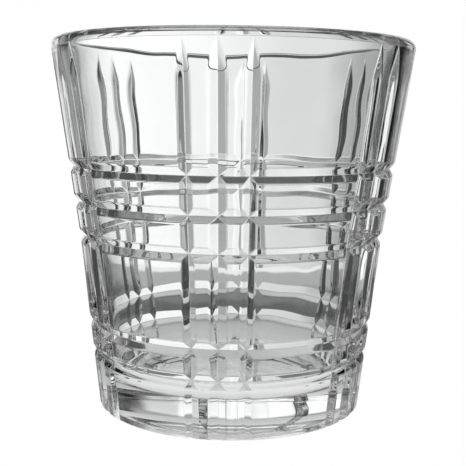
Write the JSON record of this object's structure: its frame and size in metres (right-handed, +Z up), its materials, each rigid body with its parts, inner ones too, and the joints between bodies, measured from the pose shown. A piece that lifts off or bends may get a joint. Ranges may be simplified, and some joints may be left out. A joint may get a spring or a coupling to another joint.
{
  "type": "whiskey tumbler",
  "caption": "Clear pressed-glass whiskey tumbler: tapered cup with a heavy base and rounded lip, its wall crossed by ring grooves and groups of upright grooves.",
  "frame": {"origin": "centre of the foot ring, on the surface that the tumbler stands on", "axes": "+Z up along the tumbler's axis; the middle groove of one group of upright grooves faces -Y, and clean panels face +X and -X"},
  "size_m": [0.092, 0.092, 0.094],
  "materials": {
    "clear_glass": "fire-polished, clear and colourless"
  },
  "bodies": {
    "root": {"tumbler": "clear_glass"}
  },
  "joints": []
}
